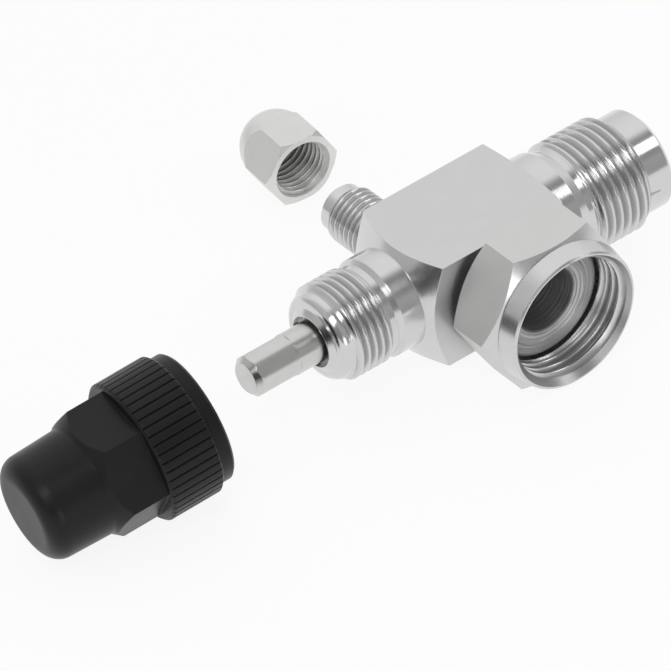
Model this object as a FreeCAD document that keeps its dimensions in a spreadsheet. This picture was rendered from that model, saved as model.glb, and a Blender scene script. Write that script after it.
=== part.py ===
# Refrigerant service valve with its two caps taken off, in millimetres.
# The stem and the flare outlet lie along X, the swivel nut looks along -Y and the access port along +Y.
# The origin is in the middle of the swivel nut's thread, on its axis, and Z points up.
import FreeCAD, Part
import math
import os
import Sketcher

os.makedirs("parts", exist_ok=True)
doc = FreeCAD.newDocument("service_valve")
sheet = doc.addObject("Spreadsheet::Sheet", "sizes")

# Driving dimensions. Places are distances from the point where the stem's and the nut's axes meet.
SIZES = {
    # square bar of the body
    "bar_side": 22.23,
    "bar_corner_reach": 15.75,
    "block_left": 16.0,
    "block_right": 11.35,
    "stock_margin": 2.0,
    # stem boss, turned on the left end of the bar
    "collar_root": 19.5,
    "collar_radius": 9.65,
    "collar_front": 24.9,
    "collar_chamfer": 0.8,
    "boss_relief_radius": 8.8,
    "boss_thread_start": 26.3,
    "boss_thread_radius": 9.5,
    "boss_thread_end": 34.0,
    "boss_pilot_radius": 8.45,
    "boss_face": 37.1,
    "boss_face_radius": 6.3,
    "boss_face_round": 1.9,
    "boss_end": 37.9,
    "lip_thickness": 1.9,
    "lip_bore_radius": 5.0,
    "lip_edge": 0.2,
    # flare outlet, turned on the right end of the bar
    "shoulder_rise": 0.8,
    "neck_radius": 11.05,
    "neck_length": 4.2,
    "outlet_relief_radius": 10.35,
    "outlet_relief_start": 18.4,
    "outlet_thread_start": 19.5,
    "outlet_thread_radius": 11.1,
    "outlet_thread_end": 31.0,
    "outlet_nose_radius": 9.6,
    "outlet_end": 38.1,
    "outlet_edge": 0.8,
    "outlet_bore_radius": 6.5,
    "outlet_bore_depth": 22.0,
    "outlet_bore_edge": 0.6,
    # chamber and seats
    "chamber_radius": 8.0,
    "front_seat": 7.4,
    "seat_bore_radius": 5.0,
    "seat_cone": 1.2,
    "boss_bore_radius": 6.9,
    # tailpiece of the swivel side
    "branch_bore_radius": 6.35,
    "branch_bore_edge": 0.4,
    "tail_socket_radius": 8.0,
    "tail_socket_depth": 3.0,
    "tail_neck_radius": 9.3,
    "flange_back": 16.5,
    "flange_face": 19.5,
    "flange_radius": 11.5,
    "flange_edge": 0.4,
    "bead_radius": 8.7,
    "bead_width": 0.9,
    "bead_height": 0.3,
    # swivel nut
    "nut_flats": 29.0,
    "nut_back": 12.4,
    "nut_back_radius": 14.2,
    "nut_hex_back": 14.0,
    "nut_hex_front": 21.7,
    "nut_groove_radius": 14.0,
    "nut_groove_width": 0.3,
    "nut_skirt_start": 23.4,
    "nut_skirt_back_radius": 14.3,
    "nut_skirt_radius": 13.79,
    "nut_rim": 27.5,
    "nut_rim_edge": 0.3,
    "nut_thread_radius": 11.8,
    "nut_thread_start": 20.0,
    "nut_thread_end": 25.6,
    "nut_relief_radius": 12.9,
    "nut_mouth_radius": 13.2,
    "swivel_clearance": 0.1,
    "swivel_end_gap": 0.2,
    # stem, its thread and its driving flats
    "stem_radius": 4.0,
    "stem_tip": 52.7,
    "stem_tip_edge": 1.0,
    "stem_flats": 7.69,
    "stem_flats_length": 9.6,
    "stem_flats_count": 8,
    "stem_thread_radius": 5.0,
    "stem_thread_outer": 26.5,
    "stem_thread_length": 7.0,
    "stem_thread_clearance": 0.05,
    "stem_neck_radius": 3.9,
    "spigot_radius": 2.5,
    "spigot_overhang": 1.2,
    # valve disc
    "disc_radius": 6.3,
    "disc_back": 7.0,
    "disc_front": 0.0,
    "disc_front_cone": 1.6,
    "disc_back_cone": 1.2,
    "disc_clearance": 0.05,
    "disc_shoulder_gap": 0.15,
    "clip_thickness": 0.6,
    "clip_groove_radius": 2.1,
    "clip_outer_radius": 3.4,
    "clip_gap": 0.1,
    "clip_opening": 1.6,
    # stem guide with the back seat
    "guide_outer": 27.2,
    "guide_inner": 6.5,
    "guide_thread_end": 14.5,
    "guide_bore_radius": 5.2,
    "guide_seat_cone": 0.7,
    "gallery_width": 4.0,
    "gallery_radius": 6.1,
    "cross_hole_radius": 1.4,
    # packing between the guide and the rolled lip
    "gland_washer_thickness": 1.2,
    "packing_thickness": 2.7,
    "gland_clearance": 0.3,
    "packing_clearance": 0.05,
    # access port and its core
    "port_place": 10.15,
    "port_passage_radius": 1.6,
    "port_socket_radius": 4.2,
    "port_socket_depth": 3.0,
    "port_neck_radius": 4.9,
    "port_thread_start": 13.0,
    "port_thread_radius": 5.5,
    "port_thread_end": 23.6,
    "port_nose_radius": 4.7,
    "port_end": 26.0,
    "port_edge": 0.45,
    "core_bore_radius": 2.75,
    "core_bore_end": 13.0,
    "core_head_radius": 2.65,
    "core_head_start": 21.0,
    "core_head_end": 24.4,
    "core_barrel_radius": 2.2,
    "core_barrel_start": 16.0,
    "core_cavity_radius": 1.5,
    "core_wall": 0.9,
    "core_slot_width": 1.1,
    "core_slot_depth": 1.2,
    "core_seal_start": 17.2,
    "core_seal_length": 1.8,
    "pin_radius": 0.45,
    "pin_hole_radius": 0.5,
    "pin_end": 25.2,
    "pin_collar": 21.3,
    "pin_collar_radius": 1.3,
    "pin_collar_length": 0.6,
    "poppet_radius": 1.9,
    "poppet_length": 0.6,
    "poppet_seal_length": 0.6,
    "spring_wire": 0.3,
    "spring_mean_radius": 1.05,
    "spring_turns": 5,
    "spring_bends": 12,
    "spring_gap": 0.1,
    # hexagonal access cap
    "hexcap_flats": 13.5,
    "hexcap_length": 15.2,
    "hexcap_mouth_radius": 6.9,
    "hexcap_mouth_cone": 0.7,
    "hexcap_dome_radius": 6.75,
    "hexcap_edge_back": 8.3,
    "hexcap_dome_start": 1.2,
    "hexcap_bore_radius": 5.0,
    "hexcap_crown": 3.6,
    "hexcap_counterbore_radius": 5.75,
    "hexcap_counterbore_depth": 1.0,
    "hexcap_seal_thickness": 1.0,
    "hexcap_place_x": -2.86,
    "hexcap_place_y": 46.16,
    "hexcap_turn": 85.0,
    # black seal cap
    "cap_flange_radius": 12.65,
    "cap_flange_edge": 0.5,
    "cap_knurl_start": 2.9,
    "cap_knurl_end": 13.9,
    "cap_knurl_radius": 13.7,
    "cap_knurl_edge": 0.55,
    "cap_knurl_count": 48,
    "cap_knurl_depth": 0.5,
    "cap_knurl_width": 0.75,
    "cap_flats": 22.0,
    "cap_hex_end": 21.2,
    "cap_shoulder": 23.9,
    "cap_nose_radius": 10.5,
    "cap_nose_tip_radius": 10.15,
    "cap_length": 40.0,
    "cap_nose_round": 3.6,
    "cap_mouth_radius": 10.9,
    "cap_mouth_depth": 1.9,
    "cap_thread_bore": 9.65,
    "cap_thread_depth": 14.2,
    "cap_cavity_radius": 8.2,
    "cap_cavity_depth": 37.4,
    "cap_gasket_thickness": 1.6,
    "cap_place_x": -66.16,
    "cap_place_y": -2.69,
    "cap_yaw": 173.5,
    "cap_pitch": 8.0,
    "cap_roll": -4.0,
}

for row, (alias, value) in enumerate(SIZES.items(), start=1):
    sheet.set("A%d" % row, alias)
    sheet.set("B%d" % row, str(value))
    sheet.setAlias("B%d" % row, alias)
doc.recompute()


def size(alias):
    """Value of one cell of the sheet."""
    return float(sheet.get(alias))


def bound(expression):
    """Expression with every alias pointing into the sheet."""
    words = sorted(SIZES, key=len, reverse=True)
    out = ""
    place = 0
    while place < len(expression):
        word = next((w for w in words if expression.startswith(w, place)), None)
        if word is None:
            out += expression[place]
            place += 1
        else:
            out += "sizes." + word
            place += len(word)
    return out


def new_body(label):
    body = doc.addObject("PartDesign::Body", label)
    body.Label = label
    return body


def origin_feature(body, role):
    """Plane or axis of the body's own origin."""
    return next(f for f in body.Origin.OriginFeatures if f.Role == role)


def new_sketch(body, name, role="XZ_Plane"):
    sketch = body.newObject("Sketcher::SketchObject", name)
    sketch.AttachmentSupport = [(origin_feature(body, role), "")]
    sketch.MapMode = "FlatFace"
    return sketch


def closed_profile(sketch, corners):
    """Closed outline through corners, each given by two expressions along the sketch's axes."""
    count = len(corners)
    spread = [
        FreeCAD.Vector(20 + 5 * math.cos(2 * math.pi * i / count), 20 + 5 * math.sin(2 * math.pi * i / count), 0)
        for i in range(count)
    ]
    for i in range(count):
        sketch.addGeometry(Part.LineSegment(spread[i], spread[(i + 1) % count]), False)
    for i in range(count):
        sketch.addConstraint(Sketcher.Constraint("Coincident", i, 2, (i + 1) % count, 1))
    for i, (across, up) in enumerate(corners):
        if across == "0":
            sketch.addConstraint(Sketcher.Constraint("PointOnObject", i, 1, -2))
        else:
            n = sketch.addConstraint(Sketcher.Constraint("DistanceX", -1, 1, i, 1, spread[i].x))
            sketch.setExpression("Constraints[%d]" % n, bound(across))
        if up == "0":
            sketch.addConstraint(Sketcher.Constraint("PointOnObject", i, 1, -1))
        else:
            n = sketch.addConstraint(Sketcher.Constraint("DistanceY", -1, 1, i, 1, spread[i].y))
            sketch.setExpression("Constraints[%d]" % n, bound(up))


def turn(body, name, corners, cut=False):
    """Turn an outline of (place, radius) pairs around the body's X axis, adding or cutting."""
    sketch = new_sketch(body, name + "_outline")
    closed_profile(sketch, corners)
    feature = body.newObject("PartDesign::Groove" if cut else "PartDesign::Revolution", name)
    feature.Profile = sketch
    feature.ReferenceAxis = (sketch, ["H_Axis"])
    feature.Angle = 360.0
    return feature


def prism(body, name, sides, flats, start, end):
    """Bar with that many flats along the body's X axis, one flat on top."""
    feature = body.newObject("PartDesign::AdditivePrism", name)
    feature.Polygon = sides
    feature.setExpression("Circumradius", bound("(%s) / 2 / cos(180 deg / %d)" % (flats, sides)))
    feature.setExpression("Height", bound("(%s) - (%s)" % (end, start)))
    feature.AttachmentSupport = [(origin_feature(body, "YZ_Plane"), "")]
    feature.MapMode = "FlatFace"
    feature.setExpression("AttachmentOffset.Base.z", bound(start))
    return feature


def pocket(body, name, role, corners, depth, both_ways=False, reversed_way=False):
    sketch = new_sketch(body, name + "_outline", role)
    closed_profile(sketch, corners)
    feature = body.newObject("PartDesign::Pocket", name)
    feature.Profile = sketch
    if depth == "through":
        feature.Type = "ThroughAll"
    else:
        feature.setExpression("Length", bound(depth))
    feature.Midplane = both_ways
    feature.Reversed = reversed_way
    return feature


def round_pocket(body, name, role, across, up, radius, start, end):
    """Drilled hole: a circle at (across, up) on an origin plane, cut between two distances along its normal."""
    sketch = new_sketch(body, name + "_outline", role)
    sketch.setExpression("AttachmentOffset.Base.z", bound(end))
    sketch.addGeometry(Part.Circle(FreeCAD.Vector(3, 3, 0), FreeCAD.Vector(0, 0, 1), 2), False)
    n = sketch.addConstraint(Sketcher.Constraint("Radius", 0, 2))
    sketch.setExpression("Constraints[%d]" % n, bound(radius))
    for axis, direction, line in ((across, "DistanceX", -2), (up, "DistanceY", -1)):
        if axis == "0":
            sketch.addConstraint(Sketcher.Constraint("PointOnObject", 0, 3, line))
        else:
            n = sketch.addConstraint(Sketcher.Constraint(direction, -1, 1, 0, 3, 3))
            sketch.setExpression("Constraints[%d]" % n, bound(axis))
    feature = body.newObject("PartDesign::Pocket", name)
    feature.Profile = sketch
    feature.setExpression("Length", bound("(%s) - (%s)" % (end, start)))
    return feature


def repeat_around(body, name, feature, count):
    """Copies of a feature, spread evenly around the body's X axis."""
    pattern = body.newObject("PartDesign::PolarPattern", name)
    pattern.Originals = [feature]
    pattern.Axis = (origin_feature(body, "X_Axis"), [""])
    pattern.Angle = 360
    pattern.setExpression("Occurrences", bound(count))
    body.Tip = pattern


def round_edge(body, name, base, radius, chosen):
    """Fillet the edges of base that pass the test chosen."""
    doc.recompute()
    names = ["Edge%d" % (i + 1) for i, edge in enumerate(base.Shape.Edges) if chosen(edge)]
    fillet = body.newObject("PartDesign::Fillet", name)
    fillet.Base = (base, names)
    fillet.setExpression("Radius", bound(radius))
    return fillet


def circle_at(place, radius, slack=0.02):
    """Test for a full circle around the X axis at that place and radius."""

    def test(edge):
        curve = edge.Curve
        if curve.TypeId != "Part::GeomCircle" or abs(curve.Center.x - place) > slack:
            return False
        return abs(curve.Radius - radius) < slack

    return test


# Every piece is turned along its own X, then turned about Z to lie along the stem, the nut or the port.
ALONG_STEM = FreeCAD.Rotation(FreeCAD.Vector(0, 0, 1), 0)
ALONG_NUT = FreeCAD.Rotation(FreeCAD.Vector(0, 0, 1), -90)
ALONG_PORT = FreeCAD.Rotation(FreeCAD.Vector(0, 0, 1), 90)


def put(piece, rotation, x="0", y="0", z="0"):
    """Place a piece from the point where the axes meet, which lies behind the middle of the nut's thread."""
    piece.Placement = FreeCAD.Placement(FreeCAD.Vector(0, 0, 0), rotation)
    piece.setExpression("Placement.Base.x", bound(x))
    piece.setExpression("Placement.Base.y", bound("%s + (nut_thread_start + nut_thread_end) / 2" % y))
    piece.setExpression("Placement.Base.z", bound(z))


def make_valve_body():
    """Square steel bar, turned at both ends and bored through."""
    body = new_body("valve_body")
    section = new_sketch(body, "bar_section", "YZ_Plane")
    half = "bar_side / 2"
    closed_profile(section, [("-" + half, "-" + half), (half, "-" + half), (half, half), ("-" + half, half)])
    section.setExpression("AttachmentOffset.Base.z", bound("-boss_end"))
    bar = body.newObject("PartDesign::Pad", "bar_stock")
    bar.Profile = section
    bar.setExpression("Length", bound("boss_end + outlet_end"))
    clear = "bar_corner_reach + stock_margin"
    turn(body, "stem_boss_turning", [
        ("-block_left", clear),
        ("-block_left", "bar_corner_reach"),
        ("-collar_root", "collar_radius"),
        ("-collar_front + collar_chamfer", "collar_radius"),
        ("-collar_front", "collar_radius - collar_chamfer"),
        ("-collar_front", "boss_relief_radius"),
        ("-boss_thread_start", "boss_relief_radius"),
        ("-boss_thread_start - boss_thread_radius + boss_relief_radius", "boss_thread_radius"),
        ("-boss_thread_end", "boss_thread_radius"),
        ("-boss_thread_end - boss_thread_radius + boss_pilot_radius", "boss_pilot_radius"),
        ("-boss_face", "boss_pilot_radius"),
        ("-boss_face", "boss_face_radius"),
        ("-boss_end", "lip_bore_radius + lip_edge"),
        ("-boss_end - stock_margin", "lip_bore_radius + lip_edge"),
        ("-boss_end - stock_margin", clear),
    ], cut=True)
    doc.recompute()
    round_edge(body, "boss_rolled_edge", body.Tip, "boss_face_round",
               circle_at(-size("boss_face"), size("boss_pilot_radius")))
    thread_run = "outlet_thread_radius - outlet_nose_radius"
    turn(body, "outlet_turning", [
        ("block_right", clear),
        ("block_right", "bar_corner_reach"),
        ("block_right + shoulder_rise", "neck_radius"),
        ("block_right + shoulder_rise + neck_length", "neck_radius"),
        ("outlet_relief_start", "outlet_relief_radius"),
        ("outlet_thread_start", "outlet_relief_radius"),
        ("outlet_thread_start + outlet_thread_radius - outlet_relief_radius", "outlet_thread_radius"),
        ("outlet_thread_end", "outlet_thread_radius"),
        ("outlet_thread_end + " + thread_run, "outlet_nose_radius"),
        ("outlet_end - outlet_edge", "outlet_nose_radius"),
        ("outlet_end", "outlet_nose_radius - outlet_edge"),
        ("outlet_end + stock_margin", "outlet_nose_radius - outlet_edge"),
        ("outlet_end + stock_margin", clear),
    ], cut=True)
    turn(body, "long_bore", [
        ("outlet_end + stock_margin", "0"),
        ("outlet_end + stock_margin", "outlet_bore_radius + outlet_bore_edge"),
        ("outlet_end", "outlet_bore_radius + outlet_bore_edge"),
        ("outlet_end - outlet_bore_edge", "outlet_bore_radius"),
        ("outlet_end - outlet_bore_depth", "outlet_bore_radius"),
        ("outlet_end - outlet_bore_depth - outlet_bore_radius + seat_bore_radius", "seat_bore_radius"),
        ("front_seat + seat_cone", "seat_bore_radius"),
        ("front_seat", "seat_bore_radius + seat_cone"),
        ("front_seat", "chamber_radius"),
        ("-guide_inner", "chamber_radius"),
        ("-guide_inner", "boss_bore_radius"),
        ("-boss_end + lip_thickness", "boss_bore_radius"),
        ("-boss_end + lip_thickness", "lip_bore_radius"),
        ("-boss_end - stock_margin", "lip_bore_radius"),
        ("-boss_end - stock_margin", "0"),
    ], cut=True)
    side = "bar_side / 2"
    round_pocket(body, "branch_bore", "XZ_Plane", "0", "0", "branch_bore_radius", "0", side + " + stock_margin")
    round_pocket(body, "tailpiece_socket", "XZ_Plane", "0", "0", "tail_socket_radius",
                 side + " - tail_socket_depth", side + " + stock_margin")
    round_pocket(body, "port_passage", "XZ_Plane", "-port_place", "0", "port_passage_radius",
                 "-" + side + " + port_socket_depth", "0")
    round_pocket(body, "port_socket", "XZ_Plane", "-port_place", "0", "port_socket_radius",
                 "-" + side + " - stock_margin", "-" + side + " + port_socket_depth")
    put(body, ALONG_STEM)
    return body


def make_tailpiece():
    """Turned flanged tube, brazed into the branch bore; its bead seals on the gasket."""
    body = new_body("rotolock_tailpiece")
    side = "bar_side / 2"
    turn(body, "tailpiece_turning", [
        (side + " - tail_socket_depth", "branch_bore_radius"),
        (side + " - tail_socket_depth", "tail_socket_radius"),
        (side, "tail_socket_radius"),
        (side, "tail_neck_radius"),
        ("flange_back", "tail_neck_radius"),
        ("flange_back", "flange_radius"),
        ("flange_face - flange_edge", "flange_radius"),
        ("flange_face", "flange_radius - flange_edge"),
        ("flange_face", "bead_radius + bead_width / 2"),
        ("flange_face + bead_height", "bead_radius + bead_width / 4"),
        ("flange_face + bead_height", "bead_radius - bead_width / 4"),
        ("flange_face", "bead_radius - bead_width / 2"),
        ("flange_face", "branch_bore_radius + branch_bore_edge"),
        ("flange_face - branch_bore_edge", "branch_bore_radius"),
    ])
    put(body, ALONG_NUT)
    return body


def make_nut():
    """Hexagon swivel nut: cone-chamfered hexagon, turned skirt and an inner thread at its minor radius."""
    body = new_body("rotolock_nut")
    prism(body, "nut_hexagon", 6, "nut_flats", "nut_back", "nut_rim")
    corner = "nut_flats / 2 / cos(30 deg)"
    clear = corner + " + stock_margin"
    turn(body, "nut_outside", [
        ("nut_back - stock_margin", clear),
        ("nut_back - stock_margin", "nut_back_radius"),
        ("nut_back", "nut_back_radius"),
        ("nut_hex_back", corner),
        ("nut_hex_back", clear),
    ], cut=True)
    turn(body, "nut_skirt", [
        ("nut_hex_front", clear),
        ("nut_hex_front", corner),
        ("nut_skirt_start", "nut_groove_radius"),
        ("nut_skirt_start + nut_groove_width", "nut_groove_radius"),
        ("nut_skirt_start + nut_groove_width", "nut_skirt_back_radius"),
        ("nut_rim - nut_rim_edge", "nut_skirt_radius"),
        ("nut_rim", "nut_skirt_radius - nut_rim_edge"),
        ("nut_rim + stock_margin", "nut_skirt_radius - nut_rim_edge"),
        ("nut_rim + stock_margin", clear),
    ], cut=True)
    turn(body, "nut_bore", [
        ("nut_back - stock_margin", "0"),
        ("nut_back - stock_margin", "tail_neck_radius + swivel_clearance"),
        ("flange_back - swivel_end_gap", "tail_neck_radius + swivel_clearance"),
        ("flange_back - swivel_end_gap", "nut_relief_radius"),
        ("nut_thread_start", "nut_relief_radius"),
        ("nut_thread_start", "nut_thread_radius"),
        ("nut_thread_end", "nut_thread_radius"),
        ("nut_rim", "nut_mouth_radius"),
        ("nut_rim + stock_margin", "nut_mouth_radius"),
        ("nut_rim + stock_margin", "0"),
    ], cut=True)
    put(body, ALONG_NUT)
    return body


def make_stem():
    """Steel spindle: thread, shank through the packing and eight narrow driving flats at the tip."""
    body = new_body("stem")
    turn(body, "stem_turning", [
        ("-stem_tip", "0"),
        ("-stem_tip", "stem_radius - stem_tip_edge"),
        ("-stem_tip + stem_tip_edge", "stem_radius"),
        ("-stem_thread_outer", "stem_radius"),
        ("-stem_thread_outer", "stem_thread_radius"),
        ("-stem_thread_outer + stem_thread_length", "stem_thread_radius"),
        ("-stem_thread_outer + stem_thread_length", "stem_neck_radius"),
        ("-disc_back - disc_shoulder_gap", "stem_neck_radius"),
        ("-disc_back - disc_shoulder_gap", "spigot_radius"),
        ("-disc_front + clip_gap", "spigot_radius"),
        ("-disc_front + clip_gap", "clip_groove_radius"),
        ("-disc_front + clip_gap + clip_thickness", "clip_groove_radius"),
        ("-disc_front + clip_gap + clip_thickness", "spigot_radius"),
        ("-disc_front + clip_gap + spigot_overhang", "spigot_radius"),
        ("-disc_front + clip_gap + spigot_overhang", "0"),
    ])
    flat = pocket(body, "driving_flat", "XZ_Plane", [
        ("-stem_tip - stock_margin", "stem_flats / 2"),
        ("-stem_tip + stem_flats_length", "stem_flats / 2"),
        ("-stem_tip + stem_flats_length", "stem_radius + stock_margin"),
        ("-stem_tip - stock_margin", "stem_radius + stock_margin"),
    ], "stem_radius * 2", both_ways=True)
    repeat_around(body, "driving_flats", flat, "stem_flats_count")
    put(body, ALONG_STEM)
    return body


def make_disc():
    """Valve disc, held on the stem's spigot, with a cone for each seat."""
    body = new_body("valve_disc")
    turn(body, "disc_turning", [
        ("-disc_back", "spigot_radius + disc_clearance"),
        ("-disc_back", "disc_radius - disc_back_cone"),
        ("-disc_back + disc_back_cone", "disc_radius"),
        ("-disc_front - disc_front_cone", "disc_radius"),
        ("-disc_front", "disc_radius - disc_front_cone"),
        ("-disc_front", "spigot_radius + disc_clearance"),
    ])
    put(body, ALONG_STEM)
    return body


def make_clip():
    """Open spring ring in the groove of the spigot, which holds the disc on."""
    body = new_body("disc_clip")
    turn(body, "clip_ring", [
        ("-disc_front + clip_gap", "clip_groove_radius"),
        ("-disc_front + clip_gap", "clip_outer_radius"),
        ("-disc_front + clip_gap + clip_thickness", "clip_outer_radius"),
        ("-disc_front + clip_gap + clip_thickness", "clip_groove_radius"),
    ])
    pocket(body, "clip_mouth", "YZ_Plane", [
        ("-clip_opening / 2", "0"),
        ("clip_opening / 2", "0"),
        ("clip_opening / 2", "-clip_outer_radius * 2"),
        ("-clip_opening / 2", "-clip_outer_radius * 2"),
    ], "boss_end", both_ways=True)
    put(body, ALONG_STEM)
    return body


def make_guide():
    """Bushing in the boss: inner thread for the stem, back seat at its inner end and a gallery for the port."""
    body = new_body("stem_guide")
    turn(body, "guide_turning", [
        ("-guide_outer", "stem_thread_radius + stem_thread_clearance"),
        ("-guide_outer", "boss_bore_radius"),
        ("-port_place - gallery_width / 2", "boss_bore_radius"),
        ("-port_place - gallery_width / 2", "gallery_radius"),
        ("-port_place + gallery_width / 2", "gallery_radius"),
        ("-port_place + gallery_width / 2", "boss_bore_radius"),
        ("-guide_inner", "boss_bore_radius"),
        ("-guide_inner", "guide_bore_radius + guide_seat_cone"),
        ("-guide_inner - guide_seat_cone", "guide_bore_radius"),
        ("-guide_thread_end", "guide_bore_radius"),
        ("-guide_thread_end", "stem_thread_radius + stem_thread_clearance"),
    ])
    round_pocket(body, "guide_cross_hole", "XZ_Plane", "-port_place", "0", "cross_hole_radius",
                 "-boss_bore_radius - stock_margin", "boss_bore_radius + stock_margin")
    put(body, ALONG_STEM)
    return body


def make_ring(label, outer_place, thickness, inner_radius):
    """Washer or packing ring that fills the boss bore around the stem."""
    body = new_body(label)
    turn(body, label + "_turning", [
        ("-(%s)" % outer_place, inner_radius),
        ("-(%s)" % outer_place, "boss_bore_radius"),
        ("-(%s) + %s" % (outer_place, thickness), "boss_bore_radius"),
        ("-(%s) + %s" % (outer_place, thickness), inner_radius),
    ])
    put(body, ALONG_STEM)
    return body


def make_packing():
    """Steel gland washer, two packing rings and a support washer, from the rolled lip inwards."""
    lip = "boss_end - lip_thickness"
    first = lip + " - gland_washer_thickness"
    second = first + " - packing_thickness"
    third = second + " - packing_thickness"
    packed = "stem_radius + packing_clearance"
    loose = "stem_radius + gland_clearance"
    return [
        make_ring("gland_washer", lip, "gland_washer_thickness", loose),
        make_ring("packing_ring_outer", first, "packing_thickness", packed),
        make_ring("packing_ring_inner", second, "packing_thickness", packed),
        make_ring("support_washer", third, "(%s - guide_outer)" % third, loose),
    ]


def make_access_fitting():
    """Small male fitting, brazed into the back of the bar, bored for a valve core."""
    body = new_body("access_fitting")
    side = "bar_side / 2"
    turn(body, "fitting_turning", [
        (side + " - port_socket_depth", "port_passage_radius"),
        (side + " - port_socket_depth", "port_socket_radius"),
        (side, "port_socket_radius"),
        (side, "port_neck_radius"),
        ("port_thread_start", "port_neck_radius"),
        ("port_thread_start + port_thread_radius - port_neck_radius", "port_thread_radius"),
        ("port_thread_end - port_thread_radius + port_nose_radius", "port_thread_radius"),
        ("port_thread_end", "port_nose_radius"),
        ("port_end - port_edge", "port_nose_radius"),
        ("port_end", "port_nose_radius - port_edge"),
        ("port_end", "core_bore_radius + port_edge"),
        ("port_end - port_edge", "core_bore_radius"),
        ("core_bore_end", "core_bore_radius"),
        ("core_bore_end - core_bore_radius + port_passage_radius", "port_passage_radius"),
    ])
    put(body, ALONG_PORT, "-port_place")
    return body


def make_core_body():
    """Brass core: slotted threaded head, slim barrel and a cavity for the spring."""
    body = new_body("core_body")
    turn(body, "core_turning", [
        ("core_barrel_start", "pin_hole_radius"),
        ("core_barrel_start", "core_barrel_radius"),
        ("core_head_start", "core_barrel_radius"),
        ("core_head_start", "core_head_radius"),
        ("core_head_end", "core_head_radius"),
        ("core_head_end", "pin_hole_radius"),
        ("core_head_end - core_wall - core_slot_depth", "pin_hole_radius"),
        ("core_head_end - core_wall - core_slot_depth", "core_cavity_radius"),
        ("core_barrel_start + core_wall", "core_cavity_radius"),
        ("core_barrel_start + core_wall", "pin_hole_radius"),
    ])
    pocket(body, "core_slot", "XZ_Plane", [
        ("core_head_end - core_slot_depth", "-core_slot_width / 2"),
        ("core_head_end + stock_margin", "-core_slot_width / 2"),
        ("core_head_end + stock_margin", "core_slot_width / 2"),
        ("core_head_end - core_slot_depth", "core_slot_width / 2"),
    ], "core_head_radius * 4", both_ways=True)
    put(body, ALONG_PORT, "-port_place")
    return body


def make_core_pin():
    """Pin of the core, with a collar for the spring and the poppet plate at its inner end."""
    body = new_body("core_pin")
    poppet_end = "core_barrel_start - poppet_seal_length"
    turn(body, "pin_turning", [
        (poppet_end + " - poppet_length", "0"),
        (poppet_end + " - poppet_length", "poppet_radius"),
        (poppet_end, "poppet_radius"),
        (poppet_end, "pin_radius"),
        ("pin_collar", "pin_radius"),
        ("pin_collar", "pin_collar_radius"),
        ("pin_collar + pin_collar_length", "pin_collar_radius"),
        ("pin_collar + pin_collar_length", "pin_radius"),
        ("pin_end", "pin_radius"),
        ("pin_end", "0"),
    ])
    put(body, ALONG_PORT, "-port_place")
    return body


def make_core_seals():
    """Sealing sleeve around the barrel and the soft washer on the poppet."""
    sleeve = new_body("core_barrel_seal")
    turn(sleeve, "sleeve_turning", [
        ("core_seal_start", "core_barrel_radius"),
        ("core_seal_start", "core_bore_radius"),
        ("core_seal_start + core_seal_length", "core_bore_radius"),
        ("core_seal_start + core_seal_length", "core_barrel_radius"),
    ])
    put(sleeve, ALONG_PORT, "-port_place")
    washer = new_body("core_poppet_seal")
    turn(washer, "poppet_washer_turning", [
        ("core_barrel_start - poppet_seal_length", "pin_radius"),
        ("core_barrel_start - poppet_seal_length", "poppet_radius"),
        ("core_barrel_start", "poppet_radius"),
        ("core_barrel_start", "pin_radius"),
    ])
    put(washer, ALONG_PORT, "-port_place")
    return [sleeve, washer]


def make_core_spring():
    """Round-wire spring between the core's floor and the pin's collar, bent in short straight lengths."""
    start = size("core_barrel_start") + size("core_wall") + size("spring_gap") + size("spring_wire") / 2
    end = size("pin_collar") - size("spring_gap") - size("spring_wire") / 2
    lengths = round(size("spring_turns") * size("spring_bends"))
    bends = []
    for i in range(lengths + 1):
        angle = 2 * math.pi * i / size("spring_bends")
        across = size("spring_mean_radius") * math.cos(angle)
        up = size("spring_mean_radius") * math.sin(angle)
        bends.append(FreeCAD.Vector(start + (end - start) * i / lengths, across, up))
    path = doc.addObject("Part::Polygon", "spring_path")
    path.Nodes = bends
    wire = doc.addObject("Part::Circle", "spring_wire_section")
    wire.setExpression("Radius", bound("spring_wire / 2"))
    first_way = FreeCAD.Rotation(FreeCAD.Vector(0, 0, 1), bends[1] - bends[0])
    wire.Placement = FreeCAD.Placement(bends[0], first_way)
    spring = doc.addObject("Part::Sweep", "core_spring")
    spring.Label = "core_spring"
    spring.Sections = [wire]
    spring.Spine = (path, [])
    spring.Solid = True
    spring.Transition = "Right corner"
    put(spring, ALONG_PORT, "-port_place")
    return spring


def put_hex_cap(piece):
    """The cap lies on one flat, level with the nut's lowest flat."""
    rotation = FreeCAD.Rotation(FreeCAD.Vector(0, 0, 1), size("hexcap_turn"))
    put(piece, rotation, "hexcap_place_x", "hexcap_place_y", "hexcap_flats / 2 - nut_flats / 2")


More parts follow.
